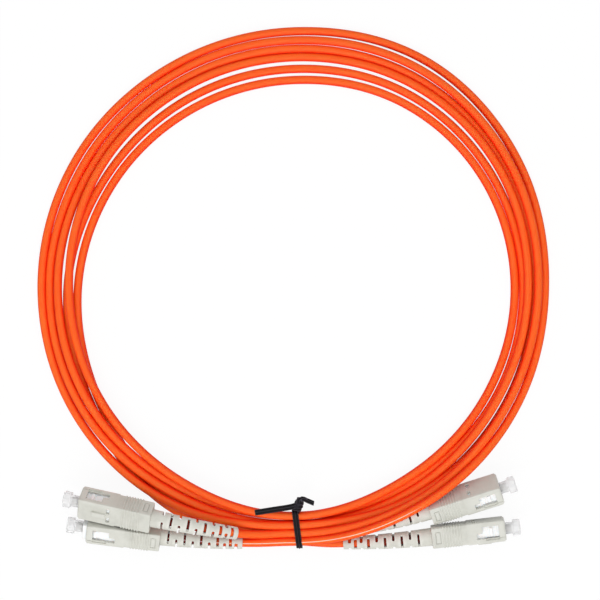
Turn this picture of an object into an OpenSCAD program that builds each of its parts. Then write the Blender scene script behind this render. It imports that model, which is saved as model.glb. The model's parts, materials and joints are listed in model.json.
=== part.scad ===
// Duplex fiber optic patch cord with four SC plugs, wound in three turns and tied.
// Millimetres, +Z up from the table, origin under the middle of the whole bundle.
// Plugs: 1 upper left, 2 lower left, 3 upper right, 4 lower right.

/* [Grip] */
// Length of the sliding outer grip
grip_len = 25.2; // [22:0.1:28]
// Width across the two key faces
grip_y = 7.4; // [7.2:0.1:8]
// Width across the two window faces
grip_z = 9.0; // [8.8:0.1:10]
// Radius of the long edges
edge_r = 0.5; // [0.3:0.1:1.2]
// Chamfer round the nose
nose_chamfer = 0.5; // [0.2:0.1:0.8]
// Distance from the nose to the shoulder
shoulder_x = 13.2; // [12.2:0.1:14]
// Step in at the shoulder on each side
shoulder_step = 0.2; // [0.1:0.05:0.3]
// Number of finger ribs
rib_count = 7; // [3:1:7]
// Distance between finger ribs
rib_pitch = 0.95; // [0.8:0.05:1.1]
// Thickness of a finger rib
rib_t = 0.5; // [0.3:0.05:0.6]
// Distance from the nose to the first rib
rib_x = 15.2; // [14.8:0.1:16]
// Length of the key
key_len = 4.8; // [3:0.1:6]
// Width of the key
key_w = 2.0; // [1.5:0.1:2.4]
// Height of the key
key_h = 0.8; // [0.4:0.1:1.2]
// Distance from the nose to the key
key_x = 5.0; // [3:0.1:5]
// Distance from the nose to the windows
window_x = 2.2; // [1.8:0.1:2.8]
// Length of a window's wide part
window_len = 5.7; // [5:0.1:6.2]
// Width of a window's wide part
window_w = 4.2; // [3.4:0.1:4.4]
// Length of a window's narrow part
slot_len = 2.0; // [1:0.1:2.4]
// Length of the ledge beside a window
ledge_len = 4.8; // [3:0.1:5.6]
// Distance from the nose to the holes in the key faces
hole_x = 10.05; // [9:0.05:11]
// Length of a hole
hole_len = 1.05; // [0.8:0.05:1.3]
// Width of a hole
hole_w = 2.5; // [1.5:0.1:2.6]
// Width of the wall between two holes
hole_web = 2.0; // [1.4:0.1:2.6]
// Length of the bare label frame
label_len = 1.8; // [1.2:0.1:2.2]
// Width of the bare label frame
label_w = 4.1; // [3:0.1:5]
// Width of the label frame's line
label_line = 0.3; // [0.2:0.05:0.4]
// How far the grip slides back to unlatch
grip_travel = 1.8; // [1:0.1:1.9]

/* [Plug frame] */
// Clearance between plug frame and grip on each side
frame_gap = 0.2; // [0.15:0.05:0.3]
// Wall of the grip on the window faces
wall_z = 1.0; // [0.8:0.05:1.2]
// Wall of the grip on the key faces
wall_y = 0.7; // [0.6:0.05:0.8]
// Length of the plug frame
frame_len = 16.6; // [16:0.1:17]
// Setback of the plug frame from the nose
frame_x = 0.4; // [0.1:0.1:0.8]
// Opening for the adapter sleeve
sleeve_d = 4.8; // [4.7:0.05:4.9]
// Depth of the sleeve opening
sleeve_depth = 6.6; // [6:0.1:7.2]

/* [Ferrule] */
// Diameter of the ceramic ferrule
ferrule_d = 2.5; // [2.4:0.05:2.6]
// Ferrule tip ahead of the grip nose
ferrule_out = 2.0; // [1:0.1:2.4]
// Bore for the glass fibre
fibre_bore = 0.3; // [0.2:0.05:0.4]
// Diameter of the flange behind the ferrule
flange_d = 4.2; // [4:0.1:4.2]
// How far the ferrule floats back
ferrule_travel = 1.2; // [0.6:0.1:1.4]
// Wire of the ferrule spring
wire_d = 0.35; // [0.3:0.05:0.4]
// Turns of the ferrule spring
spring_turns = 4; // [3:1:4]

/* [Dust cap] */
// Diameter of the cap's head
cap_head_d = 5.7; // [5:0.1:6.2]
// Thickness of the cap's head
cap_head_t = 2.2; // [1.6:0.1:2.6]
// Diameter of the cap's neck
cap_neck_d = 4.0; // [3.6:0.1:4.1]
// Neck that shows ahead of the nose
cap_neck = 3.0; // [2.8:0.1:4]
// How far a cap pulls off
cap_travel = 7; // [6.6:0.1:7.8]

/* [Boot] */
// Diameter of the boot at the grip
boot_d = 6.2; // [5.6:0.1:6.2]
// Diameter of the boot's tip
boot_tip_d = 4.3; // [4.2:0.1:4.8]
// Number of slots along the boot
boot_stations = 10; // [6:1:10]
// Distance from one slot to the next
slot_pitch = 2.85; // [2.4:0.05:3]
// Distance between the last slots
tip_pitch = 2.0; // [1.8:0.05:2.4]
// Number of slots at the shorter distance
tip_stations = 3; // [0:1:3]
// Width of the first slot
slot_w = 0.6; // [0.4:0.05:0.8]
// Width of the last slot
tip_slot_w = 1.0; // [0.6:0.05:1.2]
// Angle taken up by each of the two webs beside a slot
web_angle = 48; // [44:2:80]
// Length of the plain collar at the tip
boot_collar = 1.2; // [0.6:0.1:2]

/* [Cord] */
// Diameter of one cord
jacket_d = 2.8; // [2.6:0.05:2.8]
// Outer diameter of the crimp ring
crimp_d = 4.6; // [4.4:0.1:4.7]

/* [Twist tie] */
// Width of the tie
tie_w = 2.4; // [2:0.1:3]
// Thickness of the tie
tie_t = 0.5; // [0.4:0.1:0.6]
// Length of the loose end on the left
tie_left = 14; // [8:0.5:16]
// Length of the loose end on the right
tie_right = 6; // [4:0.5:10]
// Diameter of the twisted knot
knot_d = 2.8; // [2.2:0.1:3.2]
// Length of the twisted knot
knot_len = 3.4; // [2.6:0.1:4]

/* [Hidden] */
$fn = 40;

// Pose of each plug: nose centre, yaw, pitch (nose down), roll, key side, ledge side, grip slid back by
PLUGS = [
    [[-73.3, -72.3, 9.6], 168.0, 6.0, 49.5, 1, -1, 0.6],
    [[-72.3, -81.0, 5.6], 172.7, 0.0, -33.0, -1, 1, 1.8],
    [[70.6, -67.8, 7.0], 17.9, -3.6, 35.0, -1, -1, 0.3],
    [[72.1, -81.7, 5.4], 6.7, -1.7, 5.0, -1, -1, 0]
];
// Bend of each boot: total yaw, total pitch, roll of its slots, how far each slot is squeezed
BOOTS = [
    [2.5, -26.0, -75, 0],
    [5.5, -3.5, 20, 0.05],
    [-9.5, -3.0, -53, 0],
    [-5.0, -4.0, 25, 0]
];

// Stations of a plug along its axis, from the nose back
cavity_y = grip_y - 2 * wall_y;
cavity_z = grip_z - 2 * wall_z;
frame_y = cavity_y - 2 * frame_gap;
frame_z = cavity_z - 2 * frame_gap;
frame_end = frame_x + frame_len;
cavity_len = frame_end + 1.0;
boot_clear = 0.2;
boot_bore_d = boot_d + 2 * boot_clear;
seat_x = frame_x + sleeve_depth;
seat_end = seat_x + 0.8;
flange_len = 2.0;
flange_end = seat_end + flange_len + 0.05;
stem_d = 2.6;
stem_len = 2.4;
chamber_d = 4.8;
buffer_d = 0.9;
buffer_out = 0.8;
stop_x = flange_end + stem_len + ferrule_travel + buffer_out + 0.75;
stop_collar_d = 5.4;
stop_collar_end = frame_end + 0.8;
barrel_d = 3.8;
barrel_bore = 1.5;
barrel_end = grip_len - 0.8;
crimp_x = grip_len - 2.3;
crimp_step_x = grip_len + 0.2;
crimp_end = grip_len + 3.2;
label_x = grip_len - 3.1;
label_depth = 0.15;
ledge_w = 0.7;
ledge_depth = 0.4;
lug_x = window_x + grip_travel + 0.4;
boot_x = grip_len - 2.8;
chain_x = grip_len + 3.1;
boot_hole_d = jacket_d + 0.5;
slot_bite = 0.1;
cap_inner_end = cap_travel - ferrule_out - 0.2;

// Tube swept along points: rings stay square to the path
function unit(v) = v / norm(v);
function along(p, i) = i == 0 ? unit(p[1] - p[0])
    : i == len(p) - 1 ? unit(p[i] - p[i - 1])
    : unit(unit(p[i + 1] - p[i]) + unit(p[i] - p[i - 1]));
function side(t) = abs(t[2]) > 0.9 ? unit(cross([1, 0, 0], t)) : unit(cross([0, 0, 1], t));
function ring(c, t, r, n) = [for (k = [0:n - 1])
    c + r * (cos(360 * (k + 0.75 * n + 0.5) / n) * side(t)
        + sin(360 * (k + 0.75 * n + 0.5) / n) * cross(t, side(t)))];

module tube(p, d, n) {
    m = len(p);
    r = d / 2 / sqrt(cos(180 / n));
    rings = [for (i = [0:m - 1]) each ring(p[i], along(p, i), r, n)];
    walls = [for (i = [0:m - 2]) for (k = [0:n - 1]) each [
        [i * n + k, i * n + (k + 1) % n, (i + 1) * n + (k + 1) % n],
        [i * n + k, (i + 1) * n + (k + 1) % n, (i + 1) * n + k]
    ]];
    front = [for (k = [1:n - 2]) [0, k + 1, k]];
    back = [for (k = [1:n - 2]) [(m - 1) * n, (m - 1) * n + k, (m - 1) * n + k + 1]];
    polyhedron(points = rings, faces = [for (f = concat(walls, front, back)) [f[0], f[2], f[1]]]);
}

// Lanes of the wound cords: radius and height every 30 degrees, from the tie round by the right
coil_centre = [0, 1.1];
lane_step = 30;
rings_per_turn = 24;
coil_turns = 3;
// Height of a cord's middle where it lies on the table: its underside is flat
cord_rest = jacket_d / 2 * sqrt(cos(180 / 6));
LANE_A = [
    [84.6, 5.25], [84.4, 6.6], [83.5, 4.4], [83.6, 4.3], [85.0, 4.3], [85.8, 3.6],
    [84.3, 2.0], [83.4, 1.3], [83.3, 1.3], [83.8, 1.3], [83.7, 4.1], [82.0, 4.5],
    [81.5, 2.0], [80.8, 2.4], [79.7, 4.5], [80.1, 3.9], [80.9, 3.6], [80.2, 2.6],
    [78.5, 1.3], [77.6, 3.4], [77.6, 4.3], [77.0, 4.2], [76.8, 4.7], [77.1, 5.1],
    [78.6, 5.25], [76.3, 3.6], [75.9, 1.5], [75.7, 1.3], [74.8, 1.3], [73.1, 1.3],
    [70.7, 1.3], [70.1, 1.3], [71.4, 1.3], [74.1, 1.3], [77.5, 1.3], [83.9, 1.3],
    [84.8, 2.0]
];
LANE_B = [
    [87.7, 5.25], [86.4, 9.4], [86.7, 1.8], [86.1, 1.3], [88.1, 1.3], [89.5, 1.3],
    [87.4, 1.3], [86.3, 1.3], [86.4, 1.3], [86.6, 1.3], [86.7, 2.4], [85.4, 5.4],
    [81.6, 5.25], [83.2, 3.0], [83.1, 1.3], [82.6, 1.3], [82.9, 1.3], [82.9, 1.3],
    [81.4, 1.3], [80.4, 1.3], [80.4, 1.3], [80.9, 3.0], [80.7, 5.2], [79.3, 3.0],
    [78.4, 2.0], [78.2, 1.3], [79.0, 1.3], [78.6, 1.3], [77.8, 1.3], [76.6, 1.3],
    [74.5, 1.3], [73.8, 1.3], [74.6, 1.3], [77.7, 1.3], [80.5, 1.3], [86.8, 1.3],
    [87.9, 2.0]
];
function curve(p, q, r, s, t) = (2 * q + (r - p) * t + (2 * p - 5 * q + 4 * r - s) * t * t
    + (3 * q - p - 3 * r + s) * t * t * t) / 2;
function lane(table, u) = let (last = len(table) - 1, i = min(floor(u), last - 1))
    curve(table[max(i - 1, 0)], table[i], table[i + 1], table[min(i + 2, last)], u - i);
// Extra lifts where a cord rides over something: angle, height, half width
LIFT_A = [[17, 1.7, 18], [402, 0.3, 15]];
LIFT_B = [[14, 1.6, 16], [42, 1.1, 20], [385, 0.9, 24]];
function lift(list, a) = [
    for (s = list) abs(a - s[0]) < s[2] ? s[1] * (1 + cos(180 * (a - s[0]) / s[2])) / 2 : 0];
function total(v, i = 0) = i < len(v) ? v[i] + total(v, i + 1) : 0;
function coil_point(table, lifts, k) = let (
        a = k * 360 / rings_per_turn,
        w = lane(table, a / lane_step),
        z = max(cord_rest, w[1] + total(lift(lifts, a)))
    ) [coil_centre[0] + w[0] * sin(a), coil_centre[1] - w[0] * cos(a), z];
function coil_path(table, lifts) = let (
        m = coil_turns * rings_per_turn,
        p = [for (k = [0:m]) coil_point(table, lifts, k)],
        straight = [jacket_d, 0, 0]
    ) concat([p[0], p[0] + straight], [for (k = [1:m - 1]) p[k]], [p[m] - straight, p[m]]);
path_a = coil_path(LANE_A, LIFT_A);
path_b = coil_path(LANE_B, LIFT_B);

// Smallest gap between two turns of one cord, a third of a turn or more apart
function split(p, n) = concat([for (i = [0:len(p) - 2]) for (k = [0:n - 1]) p[i] + (p[i + 1] - p[i]) * k / n],
    [p[len(p) - 1]]);
function self_gap(p, d) = let (f = split(p, 3), m = rings_per_turn)
    min([for (i = [0:len(f) - m - 1]) for (j = [i + m:len(f) - 1]) norm(f[i] - f[j])]) - d;
echo(coil_a_gap = self_gap(path_a, jacket_d), coil_b_gap = self_gap(path_b, jacket_d));

// Places and directions along a plug and its bent boot
function heading(yaw, pitch) = [cos(yaw) * cos(pitch), sin(yaw) * cos(pitch), -sin(pitch)];
function plug_point(n, x) = PLUGS[n][0] - x * heading(PLUGS[n][1], PLUGS[n][2]);
function boot_yaw(n, i) = PLUGS[n][1] + BOOTS[n][0] * i / boot_stations;
function boot_pitch(n, i) = PLUGS[n][2] + BOOTS[n][1] * i / boot_stations;
function boot_step(n, i) = (i > boot_stations - tip_stations ? tip_pitch : slot_pitch) - BOOTS[n][3];
function boot_slot(n, i) = slot_w + (tip_slot_w - slot_w) * (i - 1) / (boot_stations - 1) - BOOTS[n][3];
function boot_land(n, i) = (boot_step(n, i) - boot_slot(n, i)) / 2;
function boot_point(n, i) = i == 0 ? plug_point(n, chain_x)
    : boot_point(n, i - 1) - boot_step(n, i) * heading(boot_yaw(n, i), boot_pitch(n, i));
function boot_radius(i) = (boot_d + (boot_tip_d - boot_d) * i / boot_stations) / 2;
boot_throat_d = crimp_d - 0.4;
function boot_bore(i) = boot_throat_d + (boot_hole_d - boot_throat_d) * i / boot_stations;

module place(n) {
    translate(PLUGS[n][0])
        rotate([PLUGS[n][3], PLUGS[n][2], PLUGS[n][1]])
            children();
}

// Cylinder along the plug axis from x1 back to x2
module rod(x1, x2, d1, d2 = 0) {
    translate([-x1, 0, 0])
        rotate([0, -90, 0])
            cylinder(h = x2 - x1, d1 = d1, d2 = d2 == 0 ? d1 : d2);
}

module block(x1, x2, y, z) {
    translate([-x2, -y / 2, -z / 2])
        cube([x2 - x1, y, z]);
}

module round_block(x1, x2, y, z, r) {
    block(x1, x2, y - 2 * r, z);
    block(x1, x2, y, z - 2 * r);
    for (a = [-1, 1])
        for (b = [-1, 1])
            translate([0, a * (y / 2 - r), b * (z / 2 - r)])
                rod(x1, x2, 2 * r);
}

module nose_cut(half, c) {
    for (s = [-1, 1])
        translate([0, s * half, 0])
            rotate([0, 0, 45])
                cube([c * sqrt(2), c * sqrt(2), 3 * grip_z], center = true);
}

module grip(n) {
    step2 = 2 * shoulder_step;
    color([0.80, 0.80, 0.76])
    place(n)
    translate([-PLUGS[n][6], 0, 0])
    difference() {
        union() {
            difference() {
                round_block(0, shoulder_x, grip_y, grip_z, edge_r);
                nose_cut(grip_y / 2, nose_chamfer);
                rotate([90, 0, 0])
                    nose_cut(grip_z / 2, nose_chamfer);
            }
            round_block(shoulder_x - 1, grip_len, grip_y - step2, grip_z - step2, edge_r);
            for (i = [0:rib_count - 1])
                round_block(rib_x + i * rib_pitch, rib_x + i * rib_pitch + rib_t, grip_y, grip_z, edge_r);
            translate([-key_x - key_len,
                PLUGS[n][4] * (grip_y / 2 + key_h / 2 - 0.1) - key_h / 2 - 0.1, -key_w / 2])
                cube([key_len, key_h + 0.2, key_w]);
        }
        block(-1, cavity_len, cavity_y, cavity_z);
        rod(cavity_len - 1, grip_len + 1, boot_bore_d);
        for (s = [-1, 1])
            rotate([s < 0 ? 180 : 0, 0, 0])
                window_cuts(PLUGS[n][5]);
        for (s = [-1, 1])
            translate([-hole_x - hole_len, -grip_y, s * (hole_web + hole_w) / 2 - hole_w / 2])
                cube([hole_len, 2 * grip_y, hole_w]);
    }
}

module window_cuts(ledge) {
    over = wall_z + 1;
    base = cavity_z / 2 - 0.5;
    translate([-window_x - window_len, -window_w / 2, base])
        cube([window_len, window_w, over]);
    translate([-window_x - window_len - slot_len, ledge > 0 ? 0.1 : -window_w / 2, base])
        cube([slot_len + 0.5, window_w / 2 - 0.1, over]);
    translate([-window_x - ledge_len,
        ledge * (window_w / 2 + ledge_w / 2 - 0.1) - ledge_w / 2, grip_z / 2 - ledge_depth])
        cube([ledge_len, ledge_w, over]);
    translate([-label_x - label_len, -label_w / 2, grip_z / 2 - shoulder_step - label_depth])
        difference() {
            cube([label_len, label_w, over]);
            translate([label_line, label_line, -1])
                cube([label_len - 2 * label_line, label_w - 2 * label_line, over + 1]);
        }
}

module plug_frame(n) {
    color([0.95, 0.95, 0.93])
    place(n)
    difference() {
        union() {
            round_block(frame_x, frame_end, frame_y, frame_z, 0.4);
            block(lug_x, lug_x + 1.0, 2.6, frame_z + 1.2);
        }
        rod(-1, seat_x, sleeve_d);
        rod(seat_x - 1, seat_end + 1, ferrule_d + 0.6);
        rod(seat_end, frame_end + 1, chamber_d);
    }
}

module ferrule(n) {
    color([0.96, 0.95, 0.92])
    place(n)
    difference() {
        union() {
            rod(-ferrule_out, 0.4 - ferrule_out, ferrule_d - 0.8, ferrule_d);
            rod(0.4 - ferrule_out, seat_end + 1.4, ferrule_d);
        }
        rod(-ferrule_out - 1, seat_end + 3, fibre_bore);
    }
}

module flange(n) {
    color([0.75, 0.75, 0.78])
    place(n)
    difference() {
        union() {
            rod(seat_end + 0.05, flange_end, flange_d);
            rod(flange_end - 0.5, flange_end + stem_len, stem_d);
        }
        rod(seat_end - 1, seat_end + 1.4, ferrule_d);
        rod(seat_end, flange_end + stem_len + 1, 1.1);
    }
}

spring_mid_d = 3.6;
spring_rings = 8;
spring_a = flange_end + 2 * wire_d;
spring_b = stop_x - 2 * wire_d;
function spring_point(k) = let (m = spring_turns * spring_rings, a = 360 * k / spring_rings)
    [-spring_a - (spring_b - spring_a) * k / m, spring_mid_d / 2 * cos(a), spring_mid_d / 2 * sin(a)];
spring_path = concat(
    [[-flange_end, spring_mid_d / 2, 0], [-flange_end - wire_d, spring_mid_d / 2, 0]],
    [for (k = [1:spring_turns * spring_rings - 1]) spring_point(k)],
    [[-stop_x + wire_d, spring_mid_d / 2, 0], [-stop_x, spring_mid_d / 2, 0]]
);
echo(spring_gap = (spring_b - spring_a) / spring_turns - wire_d);

module spring(n) {
    color([0.7, 0.7, 0.72])
    place(n)
        tube(spring_path, wire_d, 6);
}

module stop_body(n) {
    color([0.72, 0.72, 0.72])
    place(n)
    difference() {
        union() {
            rod(stop_x, frame_end, chamber_d);
            rod(frame_end, stop_collar_end, stop_collar_d);
            rod(stop_collar_end - 0.1, barrel_end, barrel_d);
        }
        rod(stop_x - 1, barrel_end + 1, barrel_bore);
    }
}

module guide_tube(n) {
    color([0.9, 0.9, 0.86])
    place(n)
    difference() {
        rod(stop_x + 0.4, barrel_end, barrel_bore);
        rod(stop_x, barrel_end + 1, buffer_d);
    }
}

module buffer(n) {
    color([0.95, 0.9, 0.75])
    place(n)
        rod(stop_x - buffer_out, barrel_end + 1.0, buffer_d);
}

module crimp_ring(n) {
    color([0.78, 0.72, 0.5])
    place(n)
    difference() {
        union() {
            rod(crimp_x, crimp_step_x, crimp_d);
            rod(crimp_step_x - 0.1, crimp_end, crimp_d - 0.6);
        }
        rod(crimp_x - 1, barrel_end, barrel_d);
        rod(crimp_x, crimp_end + 1, jacket_d + 0.2);
    }
}

module boot_link(n, i) {
    translate(boot_point(n, i))
        rotate([BOOTS[n][2] + (i % 2) * 90, boot_pitch(n, i), boot_yaw(n, i)])
            children();
}

module wedge(w, angle, reach) {
    translate([-w / 2, 0, 0])
        rotate([90, 0, 90])
            linear_extrude(w)
                polygon([[0, 0], [reach, -reach * tan(angle / 2)], [reach, reach * tan(angle / 2)]]);
}

// A boot is one link per slot, each turned a little further than the last
module boot(n) {
    last = boot_stations;
    color([0.80, 0.80, 0.76])
    difference() {
        union() {
            place(n)
                rod(boot_x, chain_x + boot_land(n, 1) + slot_bite, boot_d);
            for (i = [1:last])
                boot_link(n, i) {
                    rod(-boot_step(n, i), 0, 2 * boot_radius(i - 1) - 0.1, 2 * boot_radius(i) - 0.1);
                    rod(-boot_land(n, i) - slot_bite, i == last ? boot_collar : boot_land(n, i + 1) + slot_bite,
                        2 * boot_radius(i));
                }
        }
        place(n)
            rod(boot_x - 1, crimp_end + 0.2, crimp_d);
        for (i = [1:last])
            boot_link(n, i) {
                rod(-boot_step(n, i) - 0.15, i == last ? boot_collar + 1 : 0.15, boot_bore(i));
                for (s = [0, 180])
                    translate([boot_step(n, i) / 2, 0, 0])
                        rotate([s, 0, 0])
                            wedge(boot_slot(n, i), 180 - web_angle, boot_d);
            }
    }
}

module dust_cap(n) {
    color([0.93, 0.93, 0.93])
    place(n)
    difference() {
        union() {
            rod(-cap_neck - cap_head_t, -cap_neck, cap_head_d);
            rod(-cap_neck - 0.1, cap_inner_end, cap_neck_d);
        }
        rod(-ferrule_out, cap_inner_end + 1, ferrule_d);
    }
}

// Free tails from inside the crimp rings through the boots to the tie
tail_start = crimp_end - 1;
TAIL_ENDS = [
    [[-14, -83.7, 6.4], [-8, -83.7, 5.4]],
    [[-12, -86.8, 5.4], [-7, -86.8, 5.25]],
    [[12, -83.4, 2.2], [7, -83.7, 2.0]],
    [[12, -87.2, 2.4], [7, -87.0, 2.0]]
];
TIE_POINTS = [path_a[0], path_b[0], path_a[len(path_a) - 1], path_b[len(path_b) - 1]];
function tail_path(n) = concat(
    [plug_point(n, tail_start)],
    [for (i = [2:2:boot_stations]) boot_point(n, i)],
    [boot_point(n, boot_stations) - 2 * heading(boot_yaw(n, boot_stations), boot_pitch(n, boot_stations))],
    TAIL_ENDS[n],
    [TIE_POINTS[n] + [n < 2 ? -3 : 3, 0, 0], TIE_POINTS[n]]
);

module tail(n) {
    color([1.0, 0.35, 0.12])
        tube(tail_path(n), jacket_d, 8);
}

module coil(path) {
    color([1.0, 0.35, 0.12])
        tube(path, jacket_d, 6);
}

// The tie is one strip: a band round the bundle, a knot and two loose ends
tie_y1 = coil_centre[1] - LANE_B[0][0] - jacket_d / 2 - 0.2;
tie_y2 = coil_centre[1] - LANE_B[24][0] + jacket_d / 2 + 0.2;
tie_top = LANE_A[0][1] + jacket_d / 2 + 0.15;
tie_end_z = tie_top - 1.0;
module twist_tie() {
    color([0.13, 0.13, 0.13]) {
        difference() {
            translate([-tie_w / 2, tie_y1 - tie_t, 0])
                cube([tie_w, tie_y2 - tie_y1 + 2 * tie_t, tie_top + tie_t]);
            translate([-tie_w, tie_y1, tie_t])
                cube([2 * tie_w, tie_y2 - tie_y1, tie_top - tie_t]);
        }
        translate([0.5, tie_y2 + tie_t - 0.3, tie_top - 0.6])
            rotate([0, 90, 80])
                cylinder(h = knot_len, d = knot_d, $fn = 24);
        translate([-tie_left, tie_y2 + 2.0, tie_end_z])
            cube([tie_left + 0.5, tie_w, tie_t]);
        translate([0, tie_y2 + 2.4, tie_end_z])
            rotate([0, 0, 12])
                cube([tie_right, tie_w, tie_t]);
    }
}

coil(path_a);  // coil_a
coil(path_b);  // coil_b
tail(0);  // tail_1
tail(1);  // tail_2
tail(2);  // tail_3
tail(3);  // tail_4
twist_tie();
grip(0);  // grip_1
grip(1);  // grip_2
grip(2);  // grip_3
grip(3);  // grip_4
plug_frame(0);  // plug_frame_1
plug_frame(1);  // plug_frame_2
plug_frame(2);  // plug_frame_3
plug_frame(3);  // plug_frame_4
ferrule(0);  // ferrule_1
ferrule(1);  // ferrule_2
ferrule(2);  // ferrule_3
ferrule(3);  // ferrule_4
flange(0);  // flange_1
flange(1);  // flange_2
flange(2);  // flange_3
flange(3);  // flange_4
spring(0);  // spring_1
spring(1);  // spring_2
spring(2);  // spring_3
spring(3);  // spring_4
stop_body(0);  // stop_body_1
stop_body(1);  // stop_body_2
stop_body(2);  // stop_body_3
stop_body(3);  // stop_body_4
guide_tube(0);  // guide_tube_1
guide_tube(1);  // guide_tube_2
guide_tube(2);  // guide_tube_3
guide_tube(3);  // guide_tube_4
buffer(0);  // buffer_1
buffer(1);  // buffer_2
buffer(2);  // buffer_3
buffer(3);  // buffer_4
crimp_ring(0);  // crimp_ring_1
crimp_ring(1);  // crimp_ring_2
crimp_ring(2);  // crimp_ring_3
crimp_ring(3);  // crimp_ring_4
boot(0);  // boot_1
boot(1);  // boot_2
boot(2);  // boot_3
boot(3);  // boot_4
dust_cap(0);  // dust_cap_1
dust_cap(1);  // dust_cap_2
dust_cap(2);  // dust_cap_3
dust_cap(3);  // dust_cap_4
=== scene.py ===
import bmesh
import bpy
import json
import math
import numpy as np
from mathutils import Matrix, Vector

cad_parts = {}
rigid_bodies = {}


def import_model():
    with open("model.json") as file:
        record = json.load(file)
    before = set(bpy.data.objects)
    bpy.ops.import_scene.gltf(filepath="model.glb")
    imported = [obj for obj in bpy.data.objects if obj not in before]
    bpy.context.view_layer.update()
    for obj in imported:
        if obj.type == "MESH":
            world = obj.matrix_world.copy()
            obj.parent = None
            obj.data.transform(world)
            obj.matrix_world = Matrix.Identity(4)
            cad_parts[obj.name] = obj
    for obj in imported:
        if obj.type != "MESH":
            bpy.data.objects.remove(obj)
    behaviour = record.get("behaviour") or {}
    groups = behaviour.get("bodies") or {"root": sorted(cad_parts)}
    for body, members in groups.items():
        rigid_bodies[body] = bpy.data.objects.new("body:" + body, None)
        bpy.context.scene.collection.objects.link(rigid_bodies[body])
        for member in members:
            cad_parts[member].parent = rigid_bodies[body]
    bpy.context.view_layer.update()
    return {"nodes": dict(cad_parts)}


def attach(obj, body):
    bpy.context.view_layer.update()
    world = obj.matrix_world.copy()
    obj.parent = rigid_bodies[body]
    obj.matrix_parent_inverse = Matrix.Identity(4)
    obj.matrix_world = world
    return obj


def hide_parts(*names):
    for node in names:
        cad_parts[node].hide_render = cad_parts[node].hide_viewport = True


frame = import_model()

scene = bpy.context.scene
MM = 0.001


# ---------------------------------------------------------------- camera
# a metre above the table and looking straight down, fitted to the photo
SENSOR_MM, LENS_MM = 36.0, 174.66
CAMERA_AT = (0.00205, -0.00366, 1.0)

cam = bpy.data.cameras.new("camera")
cam.sensor_width = SENSOR_MM
cam.lens = LENS_MM
cam_obj = bpy.data.objects.new("camera", cam)
cam_obj.location = CAMERA_AT
scene.collection.objects.link(cam_obj)
scene.camera = cam_obj

scene.view_settings.view_transform = "Standard"


# ---------------------------------------------------------------- poses of the plugs, from the CAD source
# Lengths are millimetres and angles degrees up to the materials. A plug lies along its x axis, its nose
# at x = 0 and the rest at negative x. The plugs are upper left, lower left, upper right and lower right.
# nose centre, yaw, pitch, roll, side of the key, side of the window ledges, how far the grip is slid back
PLUG_FIELDS = ("nose", "yaw", "pitch", "roll", "key", "ledge", "back")
PLUGS = [dict(zip(PLUG_FIELDS, row)) for row in (
    ((-73.3, -72.3, 9.6), 168.0, 6.0, 49.5, 1, -1, 0.6),
    ((-72.3, -81.0, 5.6), 172.7, 0.0, -33.0, -1, 1, 1.8),
    ((70.6, -67.8, 7.0), 17.9, -3.6, 35.0, -1, -1, 0.3),
    ((72.1, -81.7, 5.4), 6.7, -1.7, 5.0, -1, -1, 0.0),
)]
# yaw and pitch that a boot gains from root to tip, roll of its slots, squeeze of each slot
BOOT_FIELDS = ("yaw", "pitch", "roll", "squeeze")
BOOTS = [dict(zip(BOOT_FIELDS, row)) for row in (
    (2.5, -26.0, -75.0, 0.0),
    (5.5, -3.5, 20.0, 0.05),
    (-9.5, -3.0, -53.0, 0.0),
    (-5.0, -4.0, 25.0, 0.0),
)]
GRIP_LEN, GRIP_Y, GRIP_Z, EDGE_R = 25.2, 7.4, 9.0, 0.5
CRIMP_END = GRIP_LEN + 3.2
# a boot starts at BOOT_X, its slotted links at CHAIN_X, and one that isn't squeezed ends at BOOT_END
BOOT_X = GRIP_LEN - 2.8
CHAIN_X = GRIP_LEN + 3.1
BOOT_END = 55.45
# links of a boot, those of them near the tip, and their lengths
STATIONS, TIP_STATIONS = 10, 3
LINK_LEN, TIP_LINK_LEN = 2.85, 2.0


def heading(yaw, pitch):
    y, p = math.radians(yaw), math.radians(pitch)
    return np.array([math.cos(y) * math.cos(p), math.sin(y) * math.cos(p), -math.sin(p)])


def turn(roll, pitch, yaw):
    return (Matrix.Rotation(math.radians(yaw), 3, "Z") @ Matrix.Rotation(math.radians(pitch), 3, "Y")
            @ Matrix.Rotation(math.radians(roll), 3, "X"))


def plug_matrix(n, back=0.0):
    plug = PLUGS[n]
    m = turn(plug["roll"], plug["pitch"], plug["yaw"]).to_4x4()
    m.translation = Vector(plug["nose"]) - Vector(heading(plug["yaw"], plug["pitch"])) * back
    return m


def plug_point(n, x):
    """The point on a plug's axis at a distance behind its nose."""
    plug = PLUGS[n]
    return np.array(plug["nose"]) - x * heading(plug["yaw"], plug["pitch"])


def boot_turn(n, share):
    """Yaw and pitch of a boot at a share of its way from root to tip."""
    plug, boot = PLUGS[n], BOOTS[n]
    return plug["yaw"] + boot["yaw"] * share, plug["pitch"] + boot["pitch"] * share


def boot_step(n, i):
    return (TIP_LINK_LEN if i > STATIONS - TIP_STATIONS else LINK_LEN) - BOOTS[n]["squeeze"]


def boot_point(n, i):
    p = plug_point(n, CHAIN_X)
    for k in range(1, i + 1):
        p = p - boot_step(n, k) * heading(*boot_turn(n, k / STATIONS))
    return p


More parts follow.
